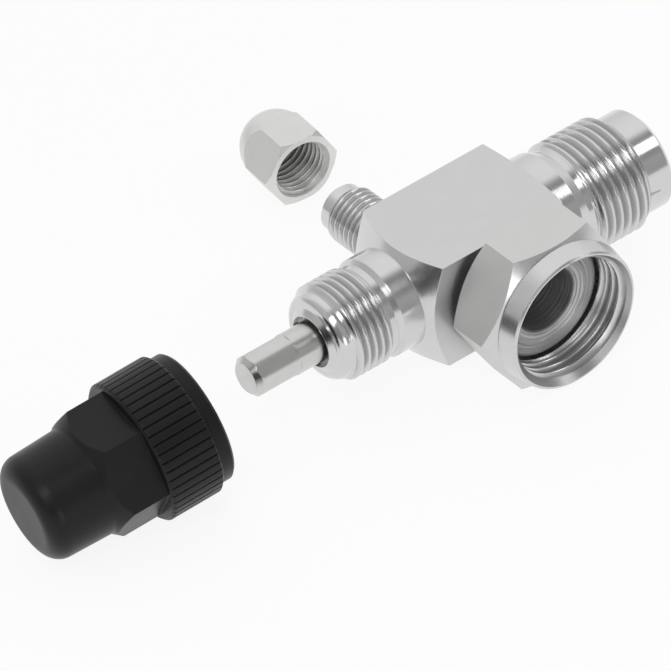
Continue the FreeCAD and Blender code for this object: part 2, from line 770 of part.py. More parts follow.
def dome_cut(body):
    """Turn the closed end to a ball that runs out over the hexagon's corners."""
    sketch = new_sketch(body, "dome_outline")
    radius = size("hexcap_dome_radius")
    centre = size("hexcap_length") - radius
    low = math.acos(size("hexcap_dome_start") / radius)
    clear = size("hexcap_flats")
    beyond = size("hexcap_length") + size("stock_margin")
    middle = FreeCAD.Vector(centre, 0, 0)
    up = FreeCAD.Vector(0, 0, 1)
    begin = FreeCAD.Vector(centre + radius * math.cos(low), radius * math.sin(low), 0)
    corner = FreeCAD.Vector(size("hexcap_length") - size("hexcap_edge_back"), clear / math.sqrt(3), 0)
    points = [
        FreeCAD.Vector(centre + radius, 0, 0),
        FreeCAD.Vector(beyond, 0, 0),
        FreeCAD.Vector(beyond, clear, 0),
        FreeCAD.Vector(corner.x, clear, 0),
        corner,
        begin,
    ]
    sketch.addGeometry(Part.ArcOfCircle(Part.Circle(middle, up, radius), 0, low), False)
    for first, second in zip(points, points[1:]):
        sketch.addGeometry(Part.LineSegment(first, second), False)
    sketch.addConstraint(Sketcher.Constraint("Coincident", 0, 1, 1, 1))
    for i in range(1, 5):
        sketch.addConstraint(Sketcher.Constraint("Coincident", i, 2, i + 1, 1))
    sketch.addConstraint(Sketcher.Constraint("Coincident", 5, 2, 0, 2))
    sketch.addConstraint(Sketcher.Constraint("PointOnObject", 0, 3, -1))
    sketch.addConstraint(Sketcher.Constraint("PointOnObject", 0, 1, -1))
    sketch.addConstraint(Sketcher.Constraint("Horizontal", 1))
    sketch.addConstraint(Sketcher.Constraint("Vertical", 2))
    sketch.addConstraint(Sketcher.Constraint("Horizontal", 3))
    sketch.addConstraint(Sketcher.Constraint("Vertical", 4))
    n = sketch.addConstraint(Sketcher.Constraint("Radius", 0, radius))
    sketch.setExpression("Constraints[%d]" % n, bound("hexcap_dome_radius"))
    ball_centre = "hexcap_length - hexcap_dome_radius"
    for direction, geometry, point, start, expression in (
        ("DistanceX", 0, 3, centre, ball_centre),
        ("DistanceX", 0, 2, begin.x, ball_centre + " + hexcap_dome_start"),
        ("DistanceX", 1, 2, points[1].x, "hexcap_length + stock_margin"),
        ("DistanceY", 2, 2, clear, "hexcap_flats"),
        ("DistanceX", 4, 2, corner.x, "hexcap_length - hexcap_edge_back"),
        ("DistanceY", 4, 2, corner.y, "hexcap_flats / 2 / cos(30 deg)"),
    ):
        n = sketch.addConstraint(Sketcher.Constraint(direction, -1, 1, geometry, point, start))
        sketch.setExpression("Constraints[%d]" % n, bound(expression))
    groove = body.newObject("PartDesign::Groove", "dome")
    groove.Profile = sketch
    groove.ReferenceAxis = (sketch, ["H_Axis"])
    groove.Angle = 360.0


def make_hex_cap():
    """Hexagonal cap with a domed end, threaded inside at its minor radius."""
    body = new_body("access_cap")
    prism(body, "cap_hexagon", 6, "hexcap_flats", "0", "hexcap_length")
    corner = "hexcap_flats / 2 / cos(30 deg)"
    turn(body, "mouth_chamfer", [
        ("-stock_margin", corner + " + stock_margin"),
        ("-stock_margin", "hexcap_mouth_radius"),
        ("0", "hexcap_mouth_radius"),
        ("hexcap_mouth_cone", corner),
        ("hexcap_mouth_cone", corner + " + stock_margin"),
    ], cut=True)
    bottom = "hexcap_length - hexcap_crown"
    turn(body, "cap_bore", [
        ("-stock_margin", "0"),
        ("-stock_margin", "hexcap_counterbore_radius"),
        ("0", "hexcap_counterbore_radius"),
        ("hexcap_counterbore_depth", "hexcap_bore_radius"),
        (bottom, "hexcap_bore_radius"),
        (bottom, "0"),
    ], cut=True)
    dome_cut(body)
    put_hex_cap(body)
    return body


def make_hex_cap_seal():
    """Soft disc at the bottom of the hexagonal cap."""
    body = new_body("access_cap_seal")
    bottom = "hexcap_length - hexcap_crown"
    turn(body, "seal_disc", [
        (bottom + " - hexcap_seal_thickness", "0"),
        (bottom + " - hexcap_seal_thickness", "hexcap_bore_radius"),
        (bottom, "hexcap_bore_radius"),
        (bottom, "0"),
    ])
    put_hex_cap(body)
    return body


def put_seal_cap(piece):
    """The cap lies on its knurl's front edge with the nose tipped down to the same level as the nut's flat."""
    turned = FreeCAD.Rotation(FreeCAD.Vector(0, 0, 1), size("cap_yaw"))
    tipped = FreeCAD.Rotation(FreeCAD.Vector(0, 1, 0), size("cap_pitch"))
    rolled = FreeCAD.Rotation(FreeCAD.Vector(1, 0, 0), size("cap_roll"))
    dip = "(cap_knurl_end - cap_knurl_edge) * sin(cap_pitch * 1 deg)"
    height = dip + " + cap_knurl_radius * cos(cap_pitch * 1 deg) - nut_flats / 2"
    put(piece, turned * tipped * rolled, "cap_place_x", "cap_place_y", height)


def make_seal_cap():
    """Moulded black cap: round nose, hexagon, straight-knurled ring and a plain flange at the open end."""
    body = new_body("seal_cap")
    turn(body, "cap_blank", [
        ("0", "0"),
        ("0", "cap_flange_radius - cap_flange_edge"),
        ("cap_flange_edge", "cap_flange_radius"),
        ("cap_knurl_start", "cap_flange_radius"),
        ("cap_knurl_start", "cap_knurl_radius - cap_knurl_edge"),
        ("cap_knurl_start + cap_knurl_edge", "cap_knurl_radius"),
        ("cap_knurl_end - cap_knurl_edge", "cap_knurl_radius"),
        ("cap_knurl_end", "cap_knurl_radius - cap_knurl_edge"),
        ("cap_knurl_end", "cap_nose_radius"),
        ("cap_shoulder", "cap_nose_radius"),
        ("cap_length", "cap_nose_tip_radius"),
        ("cap_length", "0"),
    ])
    doc.recompute()
    round_edge(body, "nose_rounding", body.Tip, "cap_nose_round",
               circle_at(size("cap_length"), size("cap_nose_tip_radius")))
    doc.recompute()
    rib_gap = pocket(body, "knurl_gap", "YZ_Plane", [
        ("0", "cap_knurl_radius - cap_knurl_depth"),
        ("cap_knurl_width / 2", "cap_knurl_radius + cap_knurl_depth"),
        ("-cap_knurl_width / 2", "cap_knurl_radius + cap_knurl_depth"),
    ], "cap_knurl_end - cap_knurl_start", reversed_way=True)
    rib_gap.Profile[0].setExpression("AttachmentOffset.Base.z", bound("cap_knurl_start"))
    repeat_around(body, "knurl", rib_gap, "cap_knurl_count")
    doc.recompute()
    prism(body, "wrench_hexagon", 6, "cap_flats", "cap_knurl_end - cap_knurl_edge", "cap_shoulder")
    corner = "cap_flats / 2 / cos(30 deg)"
    turn(body, "hexagon_shoulder", [
        ("cap_hex_end", corner + " + stock_margin"),
        ("cap_hex_end", corner),
        ("cap_shoulder", "cap_nose_radius"),
        ("cap_shoulder", corner + " + stock_margin"),
    ], cut=True)
    turn(body, "cap_inside", [
        ("-stock_margin", "0"),
        ("-stock_margin", "cap_mouth_radius"),
        ("cap_mouth_depth", "cap_mouth_radius"),
        ("cap_mouth_depth", "cap_thread_bore"),
        ("cap_thread_depth", "cap_thread_bore"),
        ("cap_thread_depth + cap_thread_bore - cap_cavity_radius", "cap_cavity_radius"),
        ("cap_cavity_depth - cap_cavity_radius / 2", "cap_cavity_radius"),
        ("cap_cavity_depth", "cap_cavity_radius / 2"),
        ("cap_cavity_depth", "0"),
    ], cut=True)
    put_seal_cap(body)
    return body


def make_cap_gasket():
    """Flat gasket pressed into the mouth of the black cap."""
    body = new_body("seal_cap_gasket")
    turn(body, "gasket_ring", [
        ("cap_mouth_depth - cap_gasket_thickness", "cap_thread_bore"),
        ("cap_mouth_depth - cap_gasket_thickness", "cap_mouth_radius"),
        ("cap_mouth_depth", "cap_mouth_radius"),
        ("cap_mouth_depth", "cap_thread_bore"),
    ])
    put_seal_cap(body)
    return body


pieces = [
    make_valve_body(),
    make_tailpiece(),
    make_nut(),
    make_stem(),
    make_disc(),
    make_clip(),
    make_guide(),
    make_access_fitting(),
    make_core_body(),
    make_core_pin(),
    make_core_spring(),
    make_hex_cap(),
    make_hex_cap_seal(),
    make_seal_cap(),
    make_cap_gasket(),
]
pieces += make_packing()
pieces += make_core_seals()
doc.recompute()

for feature in doc.Objects:
    if "Invalid" in feature.State or "Error" in feature.State:
        raise SystemExit("not built: %s %s" % (feature.Label, feature.State))
for piece in pieces:
    if piece.Shape.isNull() or not piece.Shape.isValid():
        raise SystemExit("bad shape: " + piece.Label)
    piece.Shape.exportStep("parts/%s.step" % piece.Label)
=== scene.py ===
import bmesh
import bpy
import math
from mathutils import Matrix, Quaternion, Vector


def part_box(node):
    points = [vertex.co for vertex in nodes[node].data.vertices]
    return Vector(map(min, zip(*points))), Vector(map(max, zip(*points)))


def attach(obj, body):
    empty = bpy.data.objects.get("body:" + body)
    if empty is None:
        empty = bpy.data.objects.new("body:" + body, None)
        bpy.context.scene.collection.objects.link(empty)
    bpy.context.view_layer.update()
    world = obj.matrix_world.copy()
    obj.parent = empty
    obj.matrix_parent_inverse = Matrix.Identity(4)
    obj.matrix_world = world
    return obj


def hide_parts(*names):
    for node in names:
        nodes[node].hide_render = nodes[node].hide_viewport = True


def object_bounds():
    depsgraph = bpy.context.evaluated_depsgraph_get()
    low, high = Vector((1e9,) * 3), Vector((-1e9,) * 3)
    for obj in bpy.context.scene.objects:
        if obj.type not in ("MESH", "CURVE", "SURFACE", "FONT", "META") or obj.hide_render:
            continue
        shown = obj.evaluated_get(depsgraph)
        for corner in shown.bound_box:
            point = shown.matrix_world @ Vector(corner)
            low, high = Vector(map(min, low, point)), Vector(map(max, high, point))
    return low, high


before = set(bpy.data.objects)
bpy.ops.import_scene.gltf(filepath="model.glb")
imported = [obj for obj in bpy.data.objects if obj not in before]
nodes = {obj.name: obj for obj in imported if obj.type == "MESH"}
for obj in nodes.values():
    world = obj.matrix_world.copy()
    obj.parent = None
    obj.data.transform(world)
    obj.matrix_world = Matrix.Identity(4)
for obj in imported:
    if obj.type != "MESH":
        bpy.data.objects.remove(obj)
cad_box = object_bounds()

# Valve body: one length of 7/8 inch square steel bar, turned at both ends, bored through and plated
# bright after machining. The left end is the threaded boss of the stem, the right end the flare
# outlet, and the four flats of the bar are left as drawn.
MM = 0.001
INCH = 25.4

# The stem and the outlet lie along X, on the middle line of the bar.
bar_low, bar_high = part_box("valve_body")
STEM_AXIS = Vector((0, (bar_low.y + bar_high.y) / 2, (bar_low.z + bar_high.z) / 2))
TO_OUTLET = Vector((1, 0, 0))


def shade(hex_colour):
    """Linear colour of an sRGB hex value."""
    channels = [int(hex_colour[i:i + 2], 16) / 255 for i in (1, 3, 5)]
    return tuple(c / 12.92 if c <= 0.04045 else ((c + 0.055) / 1.055) ** 2.4 for c in channels) + (1.0,)


def add(tree, kind, inputs=None, **settings):
    """Add a node with its settings; an input is a value or the socket that feeds it."""
    made = tree.nodes.new(kind)
    for name, value in settings.items():
        setattr(made, name, value)
    for name, value in (inputs or {}).items():
        if isinstance(value, bpy.types.NodeSocket):
            tree.links.new(value, made.inputs[name])
        else:
            made.inputs[name].default_value = value
    return made


def finish_of(name):
    """Empty material with its tree and its principled shader."""
    material = bpy.data.materials.new(name)
    material.use_nodes = True
    tree = material.node_tree
    shader = next(n for n in tree.nodes if n.type == "BSDF_PRINCIPLED")
    return material, tree, shader


def turned_metal(name, centre, direction, colour="#d6d6d6", darker="#cdcdce", roughness=0.17, marks=0.35,
                 ring_depth=0.004, worn_edge=0.0, stretch=0.5, painted_shade_tone="#b4b5b4", painted_bore_shade=0.0):
    """Turned metal, bare or zinc-plated as here: a mirror-like skin broken by the rings the tool leaves.

    The real feed is near 0.1 mm, which is half a pixel here, so the rings are drawn with marks 0.3 to
    0.5 mm apart. What is too fine to draw stretches the reflections across the rings. Thread roots are
    a little rougher and are darkened by painted shade that deepens with depth; a deep bore, out to the
    radius given for it, is darkened by the same painted shade. Lengths are in millimetres.
    """
    material, tree, shader = finish_of(name)
    place = add(tree, "ShaderNodeTexCoord").outputs["Object"]
    local = add(tree, "ShaderNodeVectorMath", {0: place, 1: centre}, operation="SUBTRACT").outputs[0]
    along = add(tree, "ShaderNodeVectorMath", {0: local, 1: direction}, operation="DOT_PRODUCT")
    beside = add(tree, "ShaderNodeVectorMath", {0: local, 1: direction}, operation="CROSS_PRODUCT")
    reach = add(tree, "ShaderNodeVectorMath", {0: beside.outputs[0]}, operation="LENGTH")
    rings = []
    for distance in (along.outputs["Value"], reach.outputs["Value"]):
        grooves = add(tree, "ShaderNodeMath", {0: distance, 1: 1 / (marks * MM)}, operation="MULTIPLY")
        rings.append(add(tree, "ShaderNodeTexNoise", {"W": grooves.outputs[0], "Scale": 1.0, "Detail": 2.0},
                         noise_dimensions="1D").outputs["Fac"])
    both = add(tree, "ShaderNodeMath", {0: rings[0], 1: rings[1]}, operation="ADD")
    cloud = add(tree, "ShaderNodeTexNoise", {"Vector": local, "Scale": 1 / (4 * MM), "Detail": 3.0})
    tone = add(tree, "ShaderNodeMix", {"Factor": cloud.outputs["Fac"], 6: shade(darker), 7: shade(colour)},
               data_type="RGBA")
    rough = add(tree, "ShaderNodeMapRange", {"Value": cloud.outputs["Fac"], "To Min": roughness - 0.03,
                                             "To Max": roughness + 0.05})
    # Painted shade: inside the bore when one is given, or else at the thread roots and countersunk mouths,
    # the colour is mixed towards a darker grey, and the roughness rises a little.
    if painted_bore_shade:
        bore_edge = {"Value": reach.outputs["Value"], "From Min": (painted_bore_shade + 0.2) * MM,
                     "From Max": painted_bore_shade * MM}
        painted_shade_share = add(tree, "ShaderNodeMapRange", bore_edge).outputs["Result"]
    else:
        painted_shade_share = add(tree, "ShaderNodeAttribute", attribute_name="thread_root_shade").outputs["Fac"]
    tone_with_painted_shade = add(tree, "ShaderNodeMix", {"Factor": painted_shade_share, 6: tone.outputs[2], 7: shade(painted_shade_tone)},
               data_type="RGBA")
    dulled = add(tree, "ShaderNodeMath", {0: painted_shade_share, 1: 0.15, 2: rough.outputs[0]},
                 operation="MULTIPLY_ADD")
    bump = add(tree, "ShaderNodeBump", {"Height": both.outputs[0], "Distance": ring_depth * MM})
    if worn_edge:
        soft = add(tree, "ShaderNodeBevel", {"Radius": worn_edge * MM}, samples=6)
        tree.links.new(soft.outputs[0], bump.inputs["Normal"])
    around = add(tree, "ShaderNodeVectorTransform", {0: beside.outputs[0]}, vector_type="VECTOR",
                 convert_from="OBJECT", convert_to="WORLD")
    tree.links.new(tone_with_painted_shade.outputs[2], shader.inputs["Base Color"])
    tree.links.new(dulled.outputs[0], shader.inputs["Roughness"])
    tree.links.new(bump.outputs[0], shader.inputs["Normal"])
    tree.links.new(around.outputs[0], shader.inputs["Tangent"])
    shader.inputs["Metallic"].default_value = 1.0
    shader.inputs["Anisotropic"].default_value = stretch
    shader.inputs["Anisotropic Rotation"].default_value = 0.25
    return material


def drawn_steel(name, grain, colour="#d6d6d6", darker="#c9c9c9", roughness=0.38):
    """Zinc-plated flats, drawn or milled: the same skin, duller, with faint lines along one way.

    Grain is the number of that axis. Grit lines are near 0.05 mm on the real piece and are drawn
    0.2 mm wide and 6 mm long.
    """
    material, tree, shader = finish_of(name)
    place = add(tree, "ShaderNodeTexCoord").outputs["Object"]
    streak = [1 / (0.2 * MM)] * 3
    streak[grain] = 1 / (6 * MM)
    lines = add(tree, "ShaderNodeMapping", {"Vector": place, "Scale": streak})
    grit = add(tree, "ShaderNodeTexNoise", {"Vector": lines.outputs[0], "Scale": 1.0, "Detail": 2.0})
    cloud = add(tree, "ShaderNodeTexNoise", {"Vector": place, "Scale": 1 / (5 * MM), "Detail": 4.0})
    mixture = add(tree, "ShaderNodeMix", {"Factor": 0.6, 2: cloud.outputs["Fac"], 3: grit.outputs["Fac"]})
    tone = add(tree, "ShaderNodeMix", {"Factor": mixture.outputs[0], 6: shade(darker), 7: shade(colour)},
               data_type="RGBA")
    rough = add(tree, "ShaderNodeMapRange", {"Value": grit.outputs["Fac"], "To Min": roughness - 0.08,
                                             "To Max": roughness + 0.1})
    bump = add(tree, "ShaderNodeBump", {"Height": grit.outputs["Fac"], "Distance": 0.006 * MM})
    tree.links.new(tone.outputs[2], shader.inputs["Base Color"])
    tree.links.new(rough.outputs[0], shader.inputs["Roughness"])
    tree.links.new(bump.outputs[0], shader.inputs["Normal"])
    shader.inputs["Metallic"].default_value = 1.0
    return material


# A 60 degree thread over one pitch: share of the pitch and height, with a round root and a flat crest.
THREAD_FORM = [
    (0.00, 0.00), (0.06, 0.03), (0.12, 0.14), (0.18, 0.33), (0.32, 0.82), (0.355, 0.94), (0.40, 1.00),
    (0.60, 1.00), (0.645, 0.94), (0.68, 0.82), (0.82, 0.33), (0.88, 0.14), (0.94, 0.03),
]
STEPS_AROUND = 112
RUN_OUT = 0.6  # pitches over which a thread fades at its ends
ON_OUTLINE = 0.03  # millimetres within which a corner counts as lying on the outline
# An inner thread's countersunk mouth is rougher and also takes the full painted shade of the roots.
COUNTERSINK = 0.1  # millimetres outside the crest from which an inner thread's mouth is rough


def outline_radius(outline, place):
    """Radius of the plain outline at a place along the axis."""
    for (x0, r0), (x1, r1) in zip(outline, outline[1:]):
        if place <= x1:
            return r0 + (r1 - r0) * (place - x0) / (x1 - x0)
    return outline[-1][1]


def cut_thread(mesh, centre, direction, outline, pitch, root, crest):
    """Take the plain faces between the outline's ends off the mesh and put a right-handed thread there.

    The outline is a list of (place along the axis, radius) in millimetres, and the thread is cut below
    it. Crest above root is an outer thread, and crest below root an inner one, with a rough countersink.
    Each new corner carries a share of painted shade for the material, growing with the depth of the cut
    and full in the countersink.
    """
    side = 1 if crest > root else -1
    start, end = outline[0][0], outline[-1][0]
    radii = [radius for place, radius in outline] + [crest]
    plain = []
    for face in mesh.faces:
        inside = True
        for vert in face.verts:
            local = (vert.co - centre) / MM
            place = local.dot(direction)
            radius = (local - direction * place).length
            on_length = start - ON_OUTLINE < place < end + ON_OUTLINE
            if not (on_length and min(radii) - ON_OUTLINE < radius < max(radii) + ON_OUTLINE):
                inside = False
                break
        if inside:
            plain.append(face)
    bmesh.ops.delete(mesh, geom=plain, context="FACES")

    root_shade_share = mesh.verts.layers.float.get("thread_root_shade") or mesh.verts.layers.float.new("thread_root_shade")
    across = direction.orthogonal().normalized()
    upward = direction.cross(across)
    turns = math.ceil((end - start) / pitch) + 1
    steps = [(turn + share, height) for turn in range(-1, turns) for share, height in THREAD_FORM]
    rings = []
    for i in range(STEPS_AROUND):
        angle = 2 * math.pi * i / STEPS_AROUND
        spoke = across * math.cos(angle) + upward * math.sin(angle)
        column = []
        for share, height in steps:
            place = min(max(start + pitch * (share + i / STEPS_AROUND), start), end)
            plain_radius = outline_radius(outline, place)
            cut = root + (crest - root) * height
            near_end = min((place - start) / (RUN_OUT * pitch), (end - place) / (RUN_OUT * pitch), 1.0)
            depth = max(0.0, side * (plain_radius - cut)) * near_end
            radius = plain_radius - side * depth
            vert = mesh.verts.new(centre + (direction * place + spoke * radius) * MM)
            in_mouth = plain_radius > crest + COUNTERSINK
            # Painted shade: its share grows with the square of the cut's depth, and is full in a countersunk
            # mouth.
            vert[root_shade_share] = 1.0 if in_mouth else (depth / abs(crest - root)) ** 2
            column.append((place, vert))
        rings.append(column)
    one_turn = len(THREAD_FORM)
    for i in range(STEPS_AROUND):
        here = rings[i]
        there = rings[(i + 1) % STEPS_AROUND]
        shift = one_turn if i == STEPS_AROUND - 1 else 0
        for j in range(len(steps) - 1):
            if j + 1 + shift >= len(steps):
                continue
            four = [here[j], there[j + shift], there[j + 1 + shift], here[j + 1]]
            places = [place for place, vert in four]
            if max(places) - min(places) < 1e-9:
                continue
            corners = [vert for place, vert in four]
            mesh.faces.new(corners if side > 0 else corners[::-1]).smooth = True


WELD = 0.0005 * MM
TINY_EDGE = 0.0002 * MM
SHARP_EDGE = math.radians(22)


def copy_of(node, name, threads, flats=None):
    """Visible copy of a CAD node with its threads cut; flats tells which faces take the second finish."""
    source = nodes[node].data
    mesh = bmesh.new()
    mesh.from_mesh(source)
    exact = mesh.loops.layers.float_vector.new("exact_normal")
    for face, polygon in zip(mesh.faces, source.polygons):
        for loop, number in zip(face.loops, polygon.loop_indices):
            loop[exact] = source.corner_normals[number].vector
    bmesh.ops.remove_doubles(mesh, verts=mesh.verts, dist=WELD)
    for thread in threads:
        cut_thread(mesh, **thread)
    loose = [vert for vert in mesh.verts if not vert.link_faces]
    bmesh.ops.delete(mesh, geom=loose, context="VERTS")
    bmesh.ops.remove_doubles(mesh, verts=mesh.verts, dist=WELD)
    bmesh.ops.dissolve_degenerate(mesh, edges=mesh.edges, dist=TINY_EDGE)
    for face in mesh.faces:
        face.smooth = True
        face.material_index = 1 if flats and flats(face) else 0
    data = bpy.data.meshes.new(name)
    mesh.to_mesh(data)
    mesh.free()
    data.set_sharp_from_angle(angle=SHARP_EDGE)
    data.normals_split_custom_set([loop.vector for loop in data.attributes["exact_normal"].data])
    piece = bpy.data.objects.new(name, data)
    bpy.context.scene.collection.objects.link(piece)
    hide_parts(node)
    return piece


BAR_FLATS_FROM = 11.105 * MM


def bar_flat(face):
    """True on the four flats of the bar, which lie further out than all that is turned on it."""
    local = face.calc_center_median() - STEM_AXIS
    return max(abs(local.y), abs(local.z)) > BAR_FLATS_FROM and abs(face.normal.x) < 0.01


# Places along the stem's axis and radii of the two outer threads, in millimetres.
BOSS_OUTLINE = [(-35.05, 8.45), (-34.0, 9.5), (-27.0, 9.5), (-26.3, 8.8)]
OUTLET_OUTLINE = [(19.5, 10.35), (20.25, 11.1), (31.0, 11.1), (32.5, 9.6)]
boss_thread = dict(centre=STEM_AXIS, direction=TO_OUTLET, outline=BOSS_OUTLINE, pitch=INCH / 16,
                   root=8.55, crest=9.5)
outlet_thread = dict(centre=STEM_AXIS, direction=TO_OUTLET, outline=OUTLET_OUTLINE, pitch=INCH / 14,
                     root=10.0, crest=11.1)
# The body's thread roots take painted shade.
body_piece = copy_of("valve_body", "plated_body", [boss_thread, outlet_thread], flats=bar_flat)
body_piece.data.materials.append(turned_metal("plated_turned_steel", STEM_AXIS, TO_OUTLET, worn_edge=0.2))
body_piece.data.materials.append(drawn_steel("plated_drawn_flats", grain=0))
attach(body_piece, "body")

# Tailpiece: a turned steel tube with a flange, brazed into the bar. Its face, with coarse rings from
# the facing tool and a raised bead, seals on a gasket against the compressor. The rings scatter the
# light to a soft grey, and the bore is darkened with painted shade.
TO_COMPRESSOR = Vector((0, -1, 0))
tail_steel = turned_metal("faced_flange_steel", STEM_AXIS, TO_COMPRESSOR, colour="#dcdcdc",
                          darker="#cfcfcf", roughness=0.4, marks=0.5, ring_depth=0.2, stretch=0.8,
                          painted_shade_tone="#a2a2a2", painted_bore_shade=6.5)
nodes["rotolock_tailpiece"].material_slots[0].material = tail_steel

# Swivel nut: turned and milled from hexagon bar and plated. It turns freely on the tailpiece's flange,
# and its mouth takes the compressor's 1-14 thread. The skirt is bright, the milled flats are satin.
NUT_OUTLINE = [(20.0, 11.8), (25.6, 11.8), (27.5, 13.2)]
NUT_FLATS_FROM = 14.4 * MM


def nut_flat(face):
    """True on the six flats of the nut."""
    return abs(face.normal.y) < 0.01 and face.calc_center_median().xz.length > NUT_FLATS_FROM


# The nut's thread roots and its countersunk mouth take painted shade.
nut_thread = dict(centre=STEM_AXIS, direction=TO_COMPRESSOR, outline=NUT_OUTLINE, pitch=INCH / 14,
                  root=12.8, crest=11.8)
nut_piece = copy_of("rotolock_nut", "swivel_nut", [nut_thread], flats=nut_flat)
nut_piece.data.materials.append(turned_metal("plated_nut_steel", STEM_AXIS, TO_COMPRESSOR, roughness=0.26))
nut_piece.data.materials.append(drawn_steel("plated_nut_flats", grain=1, colour="#dddddc",
                                            darker="#d0d0cf", roughness=0.55))
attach(nut_piece, "nut")

# Stem: ground steel spindle with eight narrow driving flats milled at its tip, and the disc and the
# washers that it carries or runs through, turned from the same bar.
# It shows a slightly warmer and duller grey than the plated body.
stem_steel = turned_metal("ground_stem_steel", STEM_AXIS, TO_OUTLET, colour="#d4d4d2", darker="#c6c6c5",
                          roughness=0.24, marks=0.3, worn_edge=0.15)
for name in ("stem", "valve_disc", "support_washer", "gland_washer"):
    nodes[name].material_slots[0].material = stem_steel

# Clip of the disc and spring of the core: hard drawn steel strip and wire, bent cold and left bare.
# The drawing die leaves them dark and smooth.
spring_wire = turned_metal("drawn_spring_wire", STEM_AXIS, TO_OUTLET, colour="#8d8f92", darker="#77797c",
                           roughness=0.3, marks=0.5)
for name in ("disc_clip", "core_spring"):
    nodes[name].material_slots[0].material = spring_wire

# Stem guide and valve core: free-cutting brass, turned bright and left bare, a warm yellow.
# They hardly show, except the core's head in the mouth of the access port.
port_low, port_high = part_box("access_fitting")
PORT_AXIS = Vector(((port_low.x + port_high.x) / 2, STEM_AXIS.y, STEM_AXIS.z))
TO_PORT = Vector((0, 1, 0))
guide_brass = turned_metal("turned_brass", STEM_AXIS, TO_OUTLET, colour="#d8b56a", darker="#b98f45",
                           roughness=0.25, marks=0.4)
core_brass = turned_metal("turned_core_brass", PORT_AXIS, TO_PORT, colour="#d8b56a", darker="#b98f45",
                          roughness=0.25, marks=0.3)
nodes["stem_guide"].material_slots[0].material = guide_brass
for name in ("core_body", "core_pin"):
    nodes[name].material_slots[0].material = core_brass


# Packing rings, gaskets and seals: rings pressed from graphite and moulded from rubber, laid loose
# in their seats. Both are matt black, the packing greyer and with a finer grain.
def moulded_rubber(name, colour, darker, grain):
    """Matt elastomer with a cloudy surface; grain is the size of its pattern in millimetres."""
    material, tree, shader = finish_of(name)
    place = add(tree, "ShaderNodeTexCoord").outputs["Object"]
    cloud = add(tree, "ShaderNodeTexNoise", {"Vector": place, "Scale": 1 / (grain * MM), "Detail": 4.0})
    tone = add(tree, "ShaderNodeMix", {"Factor": cloud.outputs["Fac"], 6: shade(darker), 7: shade(colour)},
               data_type="RGBA")
    bump = add(tree, "ShaderNodeBump", {"Height": cloud.outputs["Fac"], "Distance": 0.02 * MM})
    tree.links.new(tone.outputs[2], shader.inputs["Base Color"])
    tree.links.new(bump.outputs[0], shader.inputs["Normal"])
    shader.inputs["Roughness"].default_value = 0.7
    return material


packing = moulded_rubber("graphite_packing", "#3a3a3c", "#262628", grain=0.4)
soft_seal = moulded_rubber("black_seal_rubber", "#2c2c2c", "#1e1e1e", grain=0.6)
for name in ("packing_ring_inner", "packing_ring_outer"):
    nodes[name].material_slots[0].material = packing
for name in ("core_poppet_seal", "core_barrel_seal", "access_cap_seal", "seal_cap_gasket"):
    nodes[name].material_slots[0].material = soft_seal

# Access fitting: small turned steel fitting, brazed into the back of the bar and plated with it.
# Its 7/16-20 thread takes the gauge hose or the hexagonal cap. It is as bright as the body.
PORT_OUTLINE = [(13.0, 4.9), (13.6, 5.5), (22.8, 5.5), (23.6, 4.7)]
port_thread = dict(centre=PORT_AXIS, direction=TO_PORT, outline=PORT_OUTLINE, pitch=INCH / 20,
                   root=4.8, crest=5.5)
fitting_piece = copy_of("access_fitting", "access_port", [port_thread])
fitting_piece.data.materials.append(turned_metal("plated_port_steel", PORT_AXIS, TO_PORT, roughness=0.15))
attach(fitting_piece, "body")

# Hexagonal access cap: turned from hexagon bar with a ball-shaped end and a satin nickel-like plate,
# which gives a pale grey without mirror images.
# It lies on one flat with its threaded mouth towards the valve.
HEXCAP_TURN = math.radians(85)
HEXCAP_MOUTH = Vector((-2.86, 68.96, -7.75)) * MM
HEXCAP_AXIS = Vector((math.cos(HEXCAP_TURN), math.sin(HEXCAP_TURN), 0))
HEXCAP_OUTLINE = [(0.0, 5.75), (1.0, 5.0), (9.6, 5.0), (11.6, 5.0)]
hexcap_thread = dict(centre=HEXCAP_MOUTH, direction=HEXCAP_AXIS, outline=HEXCAP_OUTLINE,
                     pitch=INCH / 20, root=5.6, crest=5.0)
hexcap_piece = copy_of("access_cap", "hexagon_cap", [hexcap_thread])
# The roots of the cap's inner thread take a faint painted shade.
cap_plate = turned_metal("satin_cap_plate", HEXCAP_MOUTH, HEXCAP_AXIS, colour="#e6e6e4", darker="#dadad8",
                         roughness=0.45, marks=0.3, painted_shade_tone="#d2d2d0")
hexcap_piece.data.materials.append(cap_plate)
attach(hexcap_piece, "body")

# Seal cap: injection-moulded black nylon with a knurled ring, a hexagon and a round nose.
# It lies on the knurl's edge with the nose tipped down. The real nose is 3.7 mm shorter than its
# solid's, so the copy's nose is drawn in evenly between its root and its rounding.
CAP_MOUTH = Vector((-66.16, 20.11, 0.92)) * MM
CAP_YAW = math.radians(173.5)
CAP_PITCH = math.radians(8)
CAP_AXIS = Vector((math.cos(CAP_YAW) * math.cos(CAP_PITCH), math.sin(CAP_YAW) * math.cos(CAP_PITCH),
                   -math.sin(CAP_PITCH)))
NOSE_START = 23.9 * MM
NOSE_ROUND = 36.4 * MM
NOSE_SHORTER = 3.7 * MM
cap_piece = copy_of("seal_cap", "black_seal_cap", [])
for vert in cap_piece.data.vertices:
    along_nose = (vert.co - CAP_MOUTH).dot(CAP_AXIS) - NOSE_START
    if along_nose > 0:
        vert.co -= CAP_AXIS * NOSE_SHORTER * min(1.0, along_nose / (NOSE_ROUND - NOSE_START))

